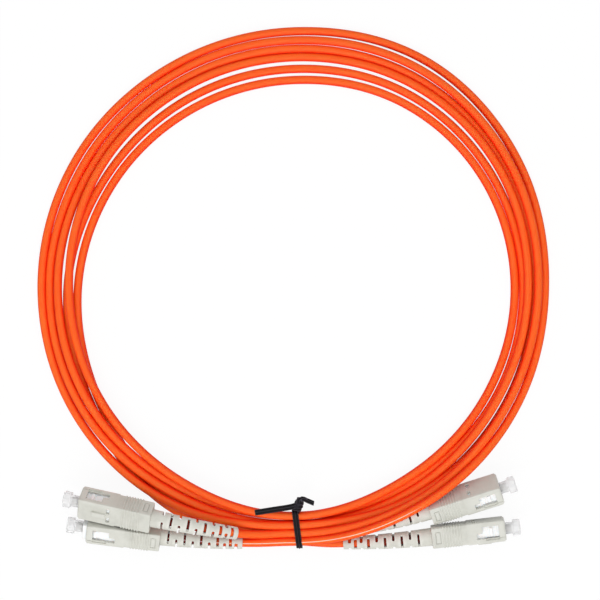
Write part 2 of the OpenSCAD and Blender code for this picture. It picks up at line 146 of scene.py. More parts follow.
# ---------------------------------------------------------------- route of the two cords, from the CAD source
# Radius and height of a strand's centre at every LANE_ANGLE degrees round the coil, from inside the tie.
# A few radii near the tie are up to 0.4 mm off the CAD's, so that the strands close up.
LANE_ANGLE = 30
LANE_A = [
    (84.5, 5.25), (84.4, 6.6), (83.5, 4.4), (83.6, 4.3), (85.0, 4.3), (85.8, 3.6),
    (84.3, 2), (83.4, 1.3), (83.3, 1.3), (83.8, 1.3), (83.7, 4.1), (82.0, 4.5),
    (81.7, 2), (80.8, 2.4), (79.7, 4.5), (80.1, 3.9), (80.9, 3.6), (80.2, 2.6),
    (78.5, 1.3), (77.6, 3.4), (77.6, 4.3), (77.0, 4.2), (76.8, 4.7), (77.1, 5.1),
    (78.6, 5.25), (76.3, 3.6), (75.9, 1.5), (75.7, 1.3), (74.8, 1.3), (73.1, 1.3),
    (70.7, 1.3), (70.1, 1.3), (71.4, 1.3), (74.1, 1.3), (77.5, 1.3), (83.9, 1.3),
    (84.8, 2.0),
]
LANE_B = [
    (87.35, 5.25), (86.4, 9.4), (86.7, 1.8), (86.1, 1.3), (88.1, 1.3), (89.5, 1.3),
    (87.4, 1.3), (86.3, 1.3), (86.4, 1.3), (86.6, 1.3), (86.7, 2.4), (85.4, 5.4),
    (81.75, 5.25), (83.2, 3), (83.1, 1.3), (82.6, 1.3), (82.9, 1.3), (82.9, 1.3),
    (81.4, 1.3), (80.4, 1.3), (80.4, 1.3), (80.9, 3), (80.7, 5.2), (79.3, 3),
    (78.75, 2), (78.4, 1.3), (79.0, 1.3), (78.6, 1.3), (77.8, 1.3), (76.6, 1.3),
    (74.5, 1.3), (73.8, 1.3), (74.6, 1.3), (77.7, 1.3), (80.5, 1.3), (86.8, 1.3),
    (87.5, 2.0),
]
# where a strand rises over another: middle in degrees, height, half its reach in degrees
LIFT_A = [(17, 1.7, 18), (402, 0.3, 15)]
LIFT_B = [(14, 1.6, 16), (42, 1.1, 20), (385, 0.9, 24)]
# two points that each tail passes on its way from the boot to the tie
TAIL_ENDS = [
    ((-14, -83.7, 6.4), (-8, -83.7, 5.4)),
    ((-12, -86.6, 5.4), (-7, -86.45, 5.25)),
    ((12, -83.4, 2.2), (7, -83.7, 2.0)),
    ((12, -87.0, 2.4), (7, -86.7, 2.0)),
]
COIL_Y = 1.1  # the coil's middle lies this far behind the origin
JACKET_R = 1.45
COIL_STEP = 5.0  # degrees between the points taken off a lane
TIE_REACH = 3.0  # the tails end this far left and right of the tie
SPAN_SAMPLES = 9  # points taken between two given ones before they are spaced evenly
PATH_STEP = 1.25
PATH_SOFTENINGS = 3


def catmull(p, q, r, s, t):
    return (2 * q + (r - p) * t + (2 * p - 5 * q + 4 * r - s) * t * t + (3 * q - p - 3 * r + s) * t ** 3) / 2


def coil_points(table, lifts):
    lane = np.array(table, float)
    last = len(lane) - 1
    points = []
    for a in np.arange(0, last * LANE_ANGLE + 0.01, COIL_STEP):
        u = a / LANE_ANGLE
        i = min(int(u), last - 1)
        w = catmull(lane[max(i - 1, 0)], lane[i], lane[i + 1], lane[min(i + 2, last)], u - i)
        z = w[1] + sum(h * (1 + math.cos(math.pi * (a - c) / half)) / 2
                       for c, h, half in lifts if abs(a - c) < half)
        r = math.radians(a)
        points.append((w[0] * math.sin(r), COIL_Y - w[0] * math.cos(r), max(JACKET_R, z)))
    return np.array(points)


def tail_points(n, tie):
    """From inside a plug's crimp, through the boot, to a point just short of the tie."""
    p = [plug_point(n, CRIMP_END - 1)]
    p += [boot_point(n, i) for i in range(2, STATIONS + 1, 2)]
    p += [boot_point(n, STATIONS) - 2 * heading(*boot_turn(n, 1))]
    p += [np.array(q, float) for q in TAIL_ENDS[n]]
    p += [tie + np.array([-TIE_REACH if n < 2 else TIE_REACH, 0, 0])]
    return np.array(p)


def distances(points):
    """How far along a path each of its points is."""
    return np.concatenate([[0], np.cumsum(np.linalg.norm(np.diff(points, axis=0), axis=1))])


def unit(rows):
    return rows / np.linalg.norm(rows, axis=1)[:, None]


def spline(points, step):
    """A smooth curve through the points, taken again at even steps along it."""
    p = np.vstack([2 * points[0] - points[1], points, 2 * points[-1] - points[-2]])
    out = []
    for i in range(1, len(p) - 2):
        d = np.sqrt(np.linalg.norm(np.diff(p[i - 1:i + 3], axis=0), axis=1))
        t0, t1, t2, t3 = 0, d[0], d[0] + d[1], d[0] + d[1] + d[2]
        for t in np.linspace(t1, t2, SPAN_SAMPLES)[:-1]:
            a1 = (t1 - t) / (t1 - t0) * p[i - 1] + (t - t0) / (t1 - t0) * p[i]
            a2 = (t2 - t) / (t2 - t1) * p[i] + (t - t1) / (t2 - t1) * p[i + 1]
            a3 = (t3 - t) / (t3 - t2) * p[i + 1] + (t - t2) / (t3 - t2) * p[i + 2]
            b1 = (t2 - t) / (t2 - t0) * a1 + (t - t0) / (t2 - t0) * a2
            b2 = (t3 - t) / (t3 - t1) * a2 + (t - t1) / (t3 - t1) * a3
            out.append((t2 - t) / (t2 - t1) * b1 + (t - t1) / (t2 - t1) * b2)
    out.append(p[-2])
    out = np.array(out)
    s = distances(out)
    at = np.linspace(0, s[-1], int(round(s[-1] / step)) + 1)
    return np.stack([np.interp(at, s, out[:, k]) for k in range(3)], axis=1)


def strand_path(table, lifts, first, second):
    coil = coil_points(table, lifts)
    head = tail_points(first, coil[0])
    rear = tail_points(second, coil[-1])[::-1]
    path = spline(np.vstack([head, coil, rear]), PATH_STEP)
    for _ in range(PATH_SOFTENINGS):
        path[1:-1] = 0.25 * path[:-2] + 0.5 * path[1:-1] + 0.25 * path[2:]
    return path


def new_object(name, verts, faces, uvs=None):
    mesh = bpy.data.meshes.new(name)
    mesh.from_pydata([tuple(map(float, v)) for v in verts], [], [tuple(f) for f in faces])
    if uvs is not None:
        layer = mesh.uv_layers.new(name="UVMap")
        layer.data.foreach_set("uv", np.asarray(uvs, np.float32).ravel())
    obj = bpy.data.objects.new(name, mesh)
    scene.collection.objects.link(obj)
    return obj


def side_faces(rings, points, closed=False):
    """Quads from each ring of points to the next, and from the last to the first if closed."""
    faces = []
    for i in range(rings if closed else rings - 1):
        a, b = i * points, (i + 1) % rings * points
        for k in range(points):
            k2 = (k + 1) % points
            faces.append((a + k, a + k2, b + k2, b + k))
    return faces


def tube(name, path, radius, sides=20):
    """A round tube with closed ends. UV: u once round from the underside, v metres along."""
    t = unit(np.gradient(path, axis=0))
    side = unit(np.cross(np.array([0, 0, 1.0]), t))
    up = np.cross(t, side)
    ang = (np.arange(sides) + 0.5) * 2 * np.pi / sides - np.pi / 2
    rings = path[:, None, :] + radius * (np.cos(ang)[None, :, None] * side[:, None, :]
                                         + np.sin(ang)[None, :, None] * up[:, None, :])
    verts = np.vstack([rings.reshape(-1, 3), path[:1], path[-1:]]) * MM
    s = distances(path) * MM
    m = len(path)
    faces, uvs = side_faces(m, sides), []
    for i in range(m - 1):
        for k in range(sides):
            u, u2 = k / sides, (k + 1) / sides
            uvs += [(u, s[i]), (u2, s[i]), (u2, s[i + 1]), (u, s[i + 1])]
    a, b = m * sides, m * sides + 1
    for k in range(sides):
        k2 = (k + 1) % sides
        faces.append((a, k2, k))
        faces.append((b, (m - 1) * sides + k, (m - 1) * sides + k2))
        uvs += [(0.5, 0), (0, 0), (0, 0), (0.5, s[-1]), (0, s[-1]), (0, s[-1])]
    obj = new_object(name, verts, faces, uvs)
    obj.data.shade_smooth()
    return obj, float(s[-1])


path_a = strand_path(LANE_A, LIFT_A, 0, 2)
path_b = strand_path(LANE_B, LIFT_B, 1, 3)
cord_a, len_a = tube("cord_strand_a", path_a, JACKET_R)
cord_b, len_b = tube("cord_strand_b", path_b, JACKET_R)
for obj, path, length, nodes in (
        (cord_a, path_a, len_a, ("coil_a", "tail_1", "tail_3")),
        (cord_b, path_b, len_b, ("coil_b", "tail_2", "tail_4"))):
    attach(obj, "cord_set")
    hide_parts(*nodes)


# ---------------------------------------------------------------- mesh tools (millimetres until placed)
FAR = 6  # past the outside of a plug in any direction
# widths of the small bevels, and the steepest turn that place() still shades smoothly
PLUG_BEVEL, BOOT_BEVEL = 0.06, 0.05
PLUG_SMOOTH, BOOT_SMOOTH, TIE_SMOOTH = 50, 40, 45


def fix_normals(obj):
    bm = bmesh.new()
    bm.from_mesh(obj.data)
    bmesh.ops.recalc_face_normals(bm, faces=bm.faces)
    bm.to_mesh(obj.data)
    bm.free()
    return obj


def circle(x, r, sides):
    return [(x, r * math.cos(2 * math.pi * k / sides), r * math.sin(2 * math.pi * k / sides))
            for k in range(sides)]


def rounded_ring(x, hy, hz, r, seg=5):
    """A rectangle of half sizes hy and hz with rounded corners, at right angles to the x axis."""
    pts = []
    for cy, cz, a0 in ((1, 1, 0), (-1, 1, 90), (-1, -1, 180), (1, -1, 270)):
        for k in range(seg + 1):
            a = math.radians(a0 + 90 * k / seg)
            pts.append((x, cy * (hy - r) + r * math.cos(a), cz * (hz - r) + r * math.sin(a)))
    return pts


def loft(sections):
    """Closed solid through rings of equal point count."""
    n = len(sections[0])
    faces = [(a, d, c, b) for a, b, c, d in side_faces(len(sections), n)]
    faces.append(tuple(range(n)))
    faces.append(tuple(reversed(range((len(sections) - 1) * n, len(sections) * n))))
    return new_object("work", [p for ring in sections for p in ring], faces)


def box(x1, x2, y1, y2, z1, z2):
    return loft([[(x, y1, z1), (x, y2, z1), (x, y2, z2), (x, y1, z2)] for x in (x2, x1)])


def rod(x1, x2, r, sides=40):
    return loft([circle(x, r, sides) for x in (x2, x1)])


def lathe(profile, sides=64):
    """Closed ring profile (x, r) turned round the x axis."""
    verts = []
    for k in range(sides):
        a = 2 * math.pi * k / sides
        verts += [(x, r * math.cos(a), r * math.sin(a)) for x, r in profile]
    return fix_normals(new_object("work", verts, side_faces(sides, len(profile), closed=True)))


def on_side(s, a, b):
    """The span from a to b, or its mirror image when s is negative."""
    return (a, b) if s > 0 else (-b, -a)


def bake(obj):
    """Makes an object's modifiers part of its mesh."""
    graph = bpy.context.evaluated_depsgraph_get()
    mesh = bpy.data.meshes.new_from_object(obj.evaluated_get(graph))
    obj.modifiers.clear()
    obj.data = mesh
    return obj


def cut(obj, tool, how="DIFFERENCE"):
    mod = obj.modifiers.new("cut", "BOOLEAN")
    mod.operation = how
    mod.solver = "EXACT"
    mod.object = tool
    bake(obj)
    bpy.data.objects.remove(tool)


def bevel(obj, width, angle=38, segments=2):
    mod = obj.modifiers.new("bevel", "BEVEL")
    mod.width = width
    mod.segments = segments
    mod.limit_method = "ANGLE"
    mod.angle_limit = math.radians(angle)
    mod.use_clamp_overlap = True
    mod.miter_outer = "MITER_ARC"
    return bake(obj)


def place(obj, name, matrix, smooth):
    """Moves a worked mesh to its place and names it."""
    obj.data.transform(Matrix.Scale(MM, 4) @ matrix)
    obj.data.shade_smooth()
    obj.data.set_sharp_from_angle(angle=math.radians(smooth))
    obj.name = name
    obj.data.name = name
    return obj


def even_normals(obj):
    """Large faces keep their flat shading, small bevels carry the turn."""
    mod = obj.modifiers.new("even", "WEIGHTED_NORMAL")
    mod.keep_sharp = True
    mod.weight = 100
    bake(obj).data.name = obj.name


def duplicate(obj):
    new = bpy.data.objects.new("work", obj.data.copy())
    scene.collection.objects.link(new)
    return new


# ---------------------------------------------------------------- sliding grips
# the rear of a grip is lower than its front by this much, and the ribs on it come up level again
WAIST = 0.2
RIBS, RIB_START, RIB_PITCH = 7, 15.2, 0.95
# where a rib leaves the waist, is at full height, starts to fall and is back at the waist
RIB_EDGES = (-0.02, 0.08, 0.42, 0.52)
# how deep the key starts inside its face, its half width there and at its top
KEY_FOOT, KEY_FOOT_HALF, KEY_TOP_HALF = 0.5, 1.0, 0.9
# x and height of the key's top from front to rear, its ends softened
KEY_TOP = ((-5.0, 0.62), (-5.2, 0.8), (-9.5, 0.8), (-9.8, 0.55))
# the hollow for the plug frame, and the round one for the boot behind it
HOLLOW_END, HOLLOW_Y, HOLLOW_Z = -18.0, 3.0, 3.5
BOOT_HOLLOW_START, BOOT_HOLLOW_R = -17.0, 3.3
# latch window: x span and half width of the wide part, x span and y span of the narrow one, and where
# both start above the axis, which is inside the hollow
WINDOW_X, WINDOW_Y = (-7.9, -2.2), 2.1
NARROW_X, NARROW_Y = (-9.9, -7.6), (0.1, 2.1)
WINDOW_Z = 3.0
# shallow cuts in the window's face: x span, distance from the axis, half width, depth
LEDGE_CUT = (-7.0, -2.2, 2.35, 0.35, 0.4)
PARTING_CUT = (-2.4, 0.5, 2.1, 0.09, 0.22)
# the bare label frame: x and y spans of its four lines
LABEL_LINES = ((-23.9, -23.65, -2.05, 2.05), (-22.35, -22.1, -2.05, 2.05),
               (-23.75, -22.2, -2.05, -1.8), (-23.75, -22.2, 1.8, 2.05))
LABEL_DEPTH = 0.3
# the two openings through each key face
OPENING_X, OPENING_Z = (-11.15, -10.0), (0.85, 3.05)


def grip_mesh(key, ledge):
    hy, hz, r = GRIP_Y / 2, GRIP_Z / 2, EDGE_R
    low_y, low_z = hy - WAIST, hz - WAIST
    secs = [(0.0, hy - 0.55, hz - 0.45, 0.45), (0.1, hy - 0.4, hz - 0.3, 0.55), (0.6, hy, hz, r),
            (12.9, hy, hz, r), (13.3, low_y, low_z, r)]
    for i in range(RIBS):
        rise, full, fall, end = (RIB_START + RIB_PITCH * i + edge for edge in RIB_EDGES)
        secs += [(rise, low_y, low_z, r), (full, hy, hz, r), (fall, hy, hz, r), (end, low_y, low_z, r)]
    secs += [(24.7, low_y, low_z, r), (25.1, low_y - 0.1, low_z - 0.1, r),
             (GRIP_LEN, low_y - 0.25, low_z - 0.25, r)]
    g = loft([rounded_ring(-x, a, b, c) for x, a, b, c in secs])
    face = key * hy
    foot = face - key * KEY_FOOT
    cut(g, fix_normals(loft([
        [(x, foot, -KEY_FOOT_HALF), (x, foot, KEY_FOOT_HALF),
         (x, face + key * top, KEY_TOP_HALF), (x, face + key * top, -KEY_TOP_HALF)]
        for x, top in KEY_TOP])), "UNION")
    cut(g, box(HOLLOW_END, 1, -HOLLOW_Y, HOLLOW_Y, -HOLLOW_Z, HOLLOW_Z))
    cut(g, rod(-GRIP_LEN - 1, BOOT_HOLLOW_START, BOOT_HOLLOW_R))
    for s in (1, -1):
        led = ledge * s
        through = on_side(s, WINDOW_Z, FAR)
        cut(g, box(*WINDOW_X, -WINDOW_Y, WINDOW_Y, *through))
        cut(g, box(*NARROW_X, *on_side(led, *NARROW_Y), *through))
        for x1, x2, y, half, depth in (LEDGE_CUT, PARTING_CUT):
            cut(g, box(x1, x2, led * y - half, led * y + half, *on_side(s, hz - depth, FAR)))
        for line in LABEL_LINES:
            cut(g, box(*line, *on_side(s, low_z - LABEL_DEPTH, FAR)))
        cut(g, box(*OPENING_X, -FAR, FAR, *on_side(s, *OPENING_Z)))
    return bevel(g, PLUG_BEVEL, angle=50)


grip_shapes = {}
for n in range(4):
    key, ledge, back = PLUGS[n]["key"], PLUGS[n]["ledge"], PLUGS[n]["back"]
    if (key, ledge) not in grip_shapes:
        grip_shapes[(key, ledge)] = grip_mesh(key, ledge)
    grip = place(duplicate(grip_shapes[(key, ledge)]), "grip_shell_%d" % (n + 1), plug_matrix(n, back),
                 smooth=PLUG_SMOOTH)
    even_normals(grip)
    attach(grip, "grip_%d" % (n + 1))
    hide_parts("grip_%d" % (n + 1))
for shape in grip_shapes.values():
    bpy.data.objects.remove(shape)


# ---------------------------------------------------------------- plug frames with the latch bars
# distance from the nose, half width, half height and corner radius along a frame
FRAME_SECTIONS = (
    (0.4, 2.5, 3.0, 0.35), (0.55, 2.88, 3.3, 0.4), (3.6, 2.88, 3.3, 0.4), (3.7, 2.8, 3.22, 0.4),
    (6.4, 2.8, 3.22, 0.4), (6.5, 2.88, 3.3, 0.4), (16.8, 2.88, 3.3, 0.4), (17.0, 2.65, 3.15, 0.3))
# x and half height of a bar that runs from face to face, and its half width
BAR_SECTIONS, BAR_Y = ((-4.4, 3.8), (-4.55, 3.9), (-5.4, 3.9)), 1.3
# x span and radius of the hollow for the ferrule, its flange and its spring, from the nose to the rear
BORES = ((-7.0, 1, 2.4), (-7.8, -6.8, 1.55), (-18, -7.8, 2.4))
# x span, distance from the axis, half width and height of the groove beside the bar
GROOVE_X, GROOVE_Y, GROOVE_HALF, GROOVE_Z = (-7.4, -2.6), 1.97, 0.13, (2.0, 4)


def frame_mesh(ledge):
    f = loft([rounded_ring(-x, a, b, c) for x, a, b, c in FRAME_SECTIONS])
    bar = loft([[(x, -BAR_Y, -z), (x, BAR_Y, -z), (x, BAR_Y, z), (x, -BAR_Y, z)]
                for x, z in BAR_SECTIONS])
    cut(f, fix_normals(bar), "UNION")
    for x1, x2, r in BORES:
        cut(f, rod(x1, x2, r))
    for s in (1, -1):
        y = ledge * s * GROOVE_Y
        cut(f, box(*GROOVE_X, y - GROOVE_HALF, y + GROOVE_HALF, *on_side(s, *GROOVE_Z)))
    return bevel(f, PLUG_BEVEL)


frame_shapes = {side: frame_mesh(side) for side in (-1, 1)}
for n in range(4):
    obj = place(duplicate(frame_shapes[PLUGS[n]["ledge"]]), "frame_insert_%d" % (n + 1), plug_matrix(n),
                smooth=PLUG_SMOOTH)
    even_normals(obj)
    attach(obj, "cord_set")
    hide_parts("plug_frame_%d" % (n + 1))
for shape in frame_shapes.values():
    bpy.data.objects.remove(shape)


# ---------------------------------------------------------------- slotted boots
BOOT_SIDES = 64
ROOT_R, TIP_R = 3.1, 2.15
TIP_LEN = 1.2  # plain end past the last link
OUTSIDE_STEP, BORE_STEP = 0.7, 1.2  # between the rings along the outside and the bore
# distance from the nose and radius of the hollow: over the crimp, then round the cord
BORE_X = [BOOT_X, CRIMP_END + 0.3, CRIMP_END + 0.9, BOOT_END]
BORE_R = [2.3, 2.3, 2.08, 1.66]
# half the angle left solid between the two slots of a link, and the radius at which a slot's ends are round
WEB, SLOT_R = 24.0, 2.7
SLOT_INNER_R, SLOT_OUTER_R = 1.0, 4.2
# rings of a slot: so many over each end's degrees, and so many from SLOT_MIDDLE degrees past its ends
SLOT_END, END_RINGS = 14, 6
SLOT_MIDDLE, MIDDLE_RINGS = 22, 9
# width of the first link's slots, and how much wider the last link's are
SLOT_W, SLOT_W_GAIN = 0.74, 0.4
# how finely the bend is worked out along a boot, and how many such steps it's averaged over
BEND_STEP, BEND_WINDOW = 0.05, 25


def slot_tool(x, width, facing):
    """A slot cut toward the axis from one side, with rounded ends: facing is the angle of its middle."""
    half = 90.0 - WEB
    reach = math.radians(half) * SLOT_R
    rings = []
    for a in np.concatenate([np.linspace(-half, -half + SLOT_END, END_RINGS),
                             np.linspace(-half + SLOT_MIDDLE, half - SLOT_MIDDLE, MIDDLE_RINGS),
                             np.linspace(half - SLOT_END, half, END_RINGS)]):
        gap = reach - abs(math.radians(a)) * SLOT_R
        w = width / 2 * math.sqrt(max(0.02, 1 - max(0.0, 1 - gap / (width / 2)) ** 2))
        c, s = math.cos(math.radians(a + facing)), math.sin(math.radians(a + facing))
        rings.append([(-x + dx, r * c, r * s) for dx, r in (
            (-w, SLOT_INNER_R), (w, SLOT_INNER_R), (w, SLOT_OUTER_R), (-w, SLOT_OUTER_R))])
    return fix_normals(loft(rings))


def bend_boot(obj, n, ends, tip):
    """Bends a straight boot along the links of the CAD boot."""
    grid = np.arange(0, tip + 2, BEND_STEP)
    link = np.interp(grid, ends, range(STATIONS + 1), left=0, right=STATIONS)
    share = np.where(grid < CHAIN_X, 0, np.clip((link + 0.5) / STATIONS, 0, 1))
    share = np.convolve(np.pad(share, BEND_WINDOW // 2, mode="edge"),
                        np.ones(BEND_WINDOW) / BEND_WINDOW, mode="valid")
    yaws, pitches = boot_turn(n, share)
    heads = np.array([heading(y, p) for y, p in zip(yaws, pitches)])
    steps = np.cumsum((heads[:-1] + heads[1:]) / 2 * BEND_STEP, axis=0)
    centre = np.array(PLUGS[n]["nose"]) - np.vstack([[0, 0, 0], steps])
    turns = np.array([np.array(turn(BOOTS[n]["roll"], p, y)) for y, p in zip(yaws, pitches)])
    co = np.empty(len(obj.data.vertices) * 3)
    obj.data.vertices.foreach_get("co", co)
    co = co.reshape(-1, 3)
    idx = np.clip(np.rint(-co[:, 0] / BEND_STEP).astype(int), 0, len(grid) - 1)
    rest = -co[:, 0] - grid[idx]
    flat = np.stack([-rest, co[:, 1], co[:, 2]], axis=1)
    co = centre[idx] + np.einsum("nij,nj->ni", turns[idx], flat)
    obj.data.vertices.foreach_set("co", co.ravel())
    obj.data.update()


def boot_mesh(n):
    ends = [CHAIN_X]
    for i in range(1, STATIONS + 1):
        ends.append(ends[-1] + boot_step(n, i))
    tip = ends[-1] + TIP_LEN
    stretch = (BOOT_END - CHAIN_X) / (tip - CHAIN_X)

    def ring(x, along, radii, inset=0.0):
        """The radius is read where x would be on a boot that isn't squeezed."""
        full = CHAIN_X + (x - CHAIN_X) * stretch if x > CHAIN_X else x
        return circle(-x, float(np.interp(full, along, radii)) - inset, BOOT_SIDES)

    outside = ([(BOOT_X, 0.1), (BOOT_X + 0.1, 0.0)]
               + [(x, 0.0) for x in np.arange(BOOT_X + 0.8, tip - 0.4, OUTSIDE_STEP)]
               + [(tip - 0.2, 0.0), (tip - 0.06, 0.05), (tip, 0.18)])
    inside = [BOOT_X - 1] + list(np.arange(BOOT_X, tip + 1, BORE_STEP)) + [tip + 1]
    b = loft([ring(x, [BOOT_X, GRIP_LEN, BOOT_END], [ROOT_R, ROOT_R, TIP_R], d) for x, d in outside])
    cut(b, loft([ring(x, BORE_X, BORE_R) for x in inside]))
    for i in range(1, STATIONS + 1):
        width = SLOT_W + SLOT_W_GAIN * (i - 1) / (STATIONS - 1) - BOOTS[n]["squeeze"]
        for side in (0, 180):
            cut(b, slot_tool((ends[i - 1] + ends[i]) / 2, width, side + (90 if i % 2 else 0)))
    bevel(b, BOOT_BEVEL, angle=50, segments=1)
    bend_boot(b, n, ends, tip)
    return b


for n in range(4):
    obj = place(boot_mesh(n), "boot_sleeve_%d" % (n + 1), Matrix.Identity(4), smooth=BOOT_SMOOTH)
    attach(obj, "cord_set")
    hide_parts("boot_%d" % (n + 1))


# ---------------------------------------------------------------- dust caps
def cap_mesh():
    def arc(cx, cr, rad, a0, a1, n=5):
        return [(cx + rad * math.cos(math.radians(a0 + (a1 - a0) * k / n)),
                 cr + rad * math.sin(math.radians(a0 + (a1 - a0) * k / n))) for k in range(n + 1)]

    head = [(5.2, 0.02), (5.2, 1.9), (5.12, 2.05)]
    head += arc(4.8, 2.45, 0.35, 0, 90) + arc(2.75, 2.6, 0.2, 90, 180, 3)
    barrel = [(2.55, 2.15), (2.4, 2.0), (-4.55, 2.0), (-4.8, 1.8)]
    bore = [(-4.8, 1.32), (-4.6, 1.27), (1.9, 1.27), (2.05, 1.1), (2.05, 0.02)]
    return lathe(head + barrel + bore)


cap_shape = cap_mesh()
for n in range(4):
    obj = place(duplicate(cap_shape), "cap_moulding_%d" % (n + 1), plug_matrix(n), smooth=PLUG_SMOOTH)
    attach(obj, "cap_%d" % (n + 1))
    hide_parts("dust_cap_%d" % (n + 1))
bpy.data.objects.remove(cap_shape)


# ---------------------------------------------------------------- twist tie
TIE_THICK, KNOT_THICK, WIRE_RIDGE = 0.42, 0.55, 0.16
BAND_W, KNOT_W, LEFT_W, RIGHT_W = 2.1, 2.2, 2.05, 1.9
# the band's outer and inner side, its underside and top, and the radius of its corners
BAND_Y1, BAND_Y2, BAND_LOW, BAND_TOP, BAND_CORNER = -88.35, -75.45, 0.37, 6.95, 1.6
# how far right of the middle it crosses the outer and the inner side of the bundle
BAND_LEAN = [1.9, 0.25]
BAND_POINTS = 140
KNOT_START, KNOT_AXIS, KNOT_LEN = (0.75, -75.4, 6.9), (0.36, 0.90, 0.12), 4.1
# radians at which the first strip starts, and that each turns by
KNOT_PHASE, KNOT_TURN, KNOT_POINTS = 0.4, 3.0 * math.pi, 70
# the strips' distance from the knot's axis, and what half a sine wave from KNOT_SWELL_FROM on adds to it
KNOT_R, KNOT_SWELL, KNOT_SWELL_FROM = 0.85, 0.5, 0.15
END_STEP = 0.25
# each free end: the points it passes, the way its face looks, its width
TIE_ENDS = (
    ([(1.4, -73.3, 7.9), (0.3, -73.8, 8.1), (-1.6, -74.3, 7.9), (-6.5, -75.1, 7.3), (-13.3, -76.2, 7.3)],
     [0.05, 0.3, 1.0], LEFT_W),
    ([(1.6, -73.0, 8.4), (2.0, -71.9, 8.9), (3.0, -71.4, 8.9), (4.7, -72.1, 8.2), (6.75, -73.0, 7.4)],
     [0.3, 0.55, 0.8], RIGHT_W),
)


def strip(path, ups, width, thick):
    """A flat tie along a path: a wire ridge down its middle and rolled edges. ups is the face's normal
    at each point."""
    t = unit(np.gradient(path, axis=0))
    across = unit(np.cross(t, ups))
    ups = np.cross(across, t)
    ridge = WIRE_RIDGE / thick
    top = [(-1.0, 0.0), (-0.97, 0.6), (-0.86, 0.95), (-0.7, 0.8), (-0.45, 0.72), (-0.26, 0.75),
           (-0.14, 1.0 + ridge), (0.0, 1.0 + 2 * ridge), (0.14, 1.0 + ridge),
           (0.26, 0.75), (0.45, 0.72), (0.7, 0.8), (0.86, 0.95), (0.97, 0.6), (1.0, 0.0)]
    sec = np.array(top + [(x, -h * 0.9) for x, h in reversed(top[1:-1])])
    rings = (path[:, None, :] + sec[None, :, 0:1] * (width / 2) * across[:, None, :]
             + sec[None, :, 1:2] * thick / 2 * ups[:, None, :])
    m, k = len(path), len(sec)
    faces = side_faces(m, k)
    faces.append(tuple(reversed(range(k))))
    faces.append(tuple(range((m - 1) * k, m * k)))
    return fix_normals(new_object("work", rings.reshape(-1, 3), faces))


def band_strip():
    """A rounded loop round the bundle, leaning slightly as it crosses."""
    y1, y2 = BAND_Y1 + BAND_CORNER, BAND_Y2 - BAND_CORNER
    z1, z2 = BAND_LOW + BAND_CORNER, BAND_TOP - BAND_CORNER
    loop = []
    for cy, cz, a0 in ((y2, z2, 0), (y1, z2, 90), (y1, z1, 180), (y2, z1, 270)):
        for a in range(0, 91, 15):
            ang = math.radians(a0 + a)
            loop.append((cy + BAND_CORNER * math.cos(ang), cz + BAND_CORNER * math.sin(ang)))
    loop = np.array(loop + loop[:1])
    s = distances(loop)
    at = np.linspace(0, s[-1], BAND_POINTS)
    y, z = np.interp(at, s, loop[:, 0]), np.interp(at, s, loop[:, 1])
    path = np.stack([np.interp(y, [BAND_Y1, BAND_Y2], BAND_LEAN), y, z], axis=1)
    # the face looks away from the middle of the bundle all the way round
    d = np.gradient(np.stack([y, z], axis=1), axis=0)
    ups = np.stack([np.zeros(len(y)), -d[:, 1], d[:, 0]], axis=1)
    middle = np.array([0, (BAND_Y1 + BAND_Y2) / 2, (BAND_TOP + BAND_LOW) / 2])
    flip = np.sign(((path - middle) * ups).sum(axis=1))
    return strip(path, ups * np.where(flip == 0, 1, flip)[:, None], BAND_W, TIE_THICK)


def knot_strips():
    """The two ends twisted round each other at the inner side of the bundle."""
    axis = np.array(KNOT_AXIS)
    axis /= np.linalg.norm(axis)
    e2 = np.cross(axis, [0, 0, 1.0])
    e2 /= np.linalg.norm(e2)
    e1 = np.cross(e2, axis)
    a = np.linspace(0, KNOT_TURN, KNOT_POINTS)
    swell = (KNOT_R + KNOT_SWELL * np.sin(np.linspace(KNOT_SWELL_FROM, 1, KNOT_POINTS) * math.pi))[:, None]
    strips = []
    for phase in (KNOT_PHASE, math.pi + KNOT_PHASE):
        out = np.cos(a + phase)[:, None] * e1 + np.sin(a + phase)[:, None] * e2
        along = axis * np.linspace(0, KNOT_LEN, KNOT_POINTS)[:, None]
        strips.append(strip(np.array(KNOT_START) + along + swell * out, out, KNOT_W, KNOT_THICK))
    return strips


def end_strips():
    strips = []
    for points, face, width in TIE_ENDS:
        path = spline(np.array(points, float), END_STEP)
        strips.append(strip(path, np.tile(face, (len(path), 1)), width, TIE_THICK))
    return strips


def join(objs):
    with bpy.context.temp_override(active_object=objs[0], selected_editable_objects=objs,
                                   selected_objects=objs):
        bpy.ops.object.join()
    return objs[0]


tie = join([band_strip()] + knot_strips() + end_strips())
place(tie, "tie_strip", Matrix.Identity(4), smooth=TIE_SMOOTH)
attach(tie, "cord_set")
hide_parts("twist_tie")


# ---------------------------------------------------------------- materials
BLACK, WHITE = (0, 0, 0, 1), (1, 1, 1, 1)
# metres, as the part's own
FINE_DEPTH = 0.00003
PLASTIC_SSS_RADIUS = (0.0012, 0.0010, 0.0009)
JACKET_SSS_RADIUS = (0.0009, 0.0002, 0.0001)
CAP_SSS_RADIUS = (0.004, 0.004, 0.004)
# from each end of a strand, where the painted shade on its jacket inside the boot starts and where it is full
BOOT_SHADE_FROM, BOOT_SHADE_FULL = 0.026, 0.012
# round a jacket, 0 and 1 are its underside; the parting line's place, half width and soft side are so too
SCAR_U, SCAR_HALF, SCAR_SIDE_SOFT = 0.5, 0.012, 0.008
SCAR_END_SOFT = 0.003


def lin(r, g, b):
    """Linear colour of an sRGB one given as 0 to 255."""
    def channel(c):
        return ((c + 0.055) / 1.055) ** 2.4 if c > 0.04045 else c / 12.92

    return (channel(r / 255), channel(g / 255), channel(b / 255), 1.0)


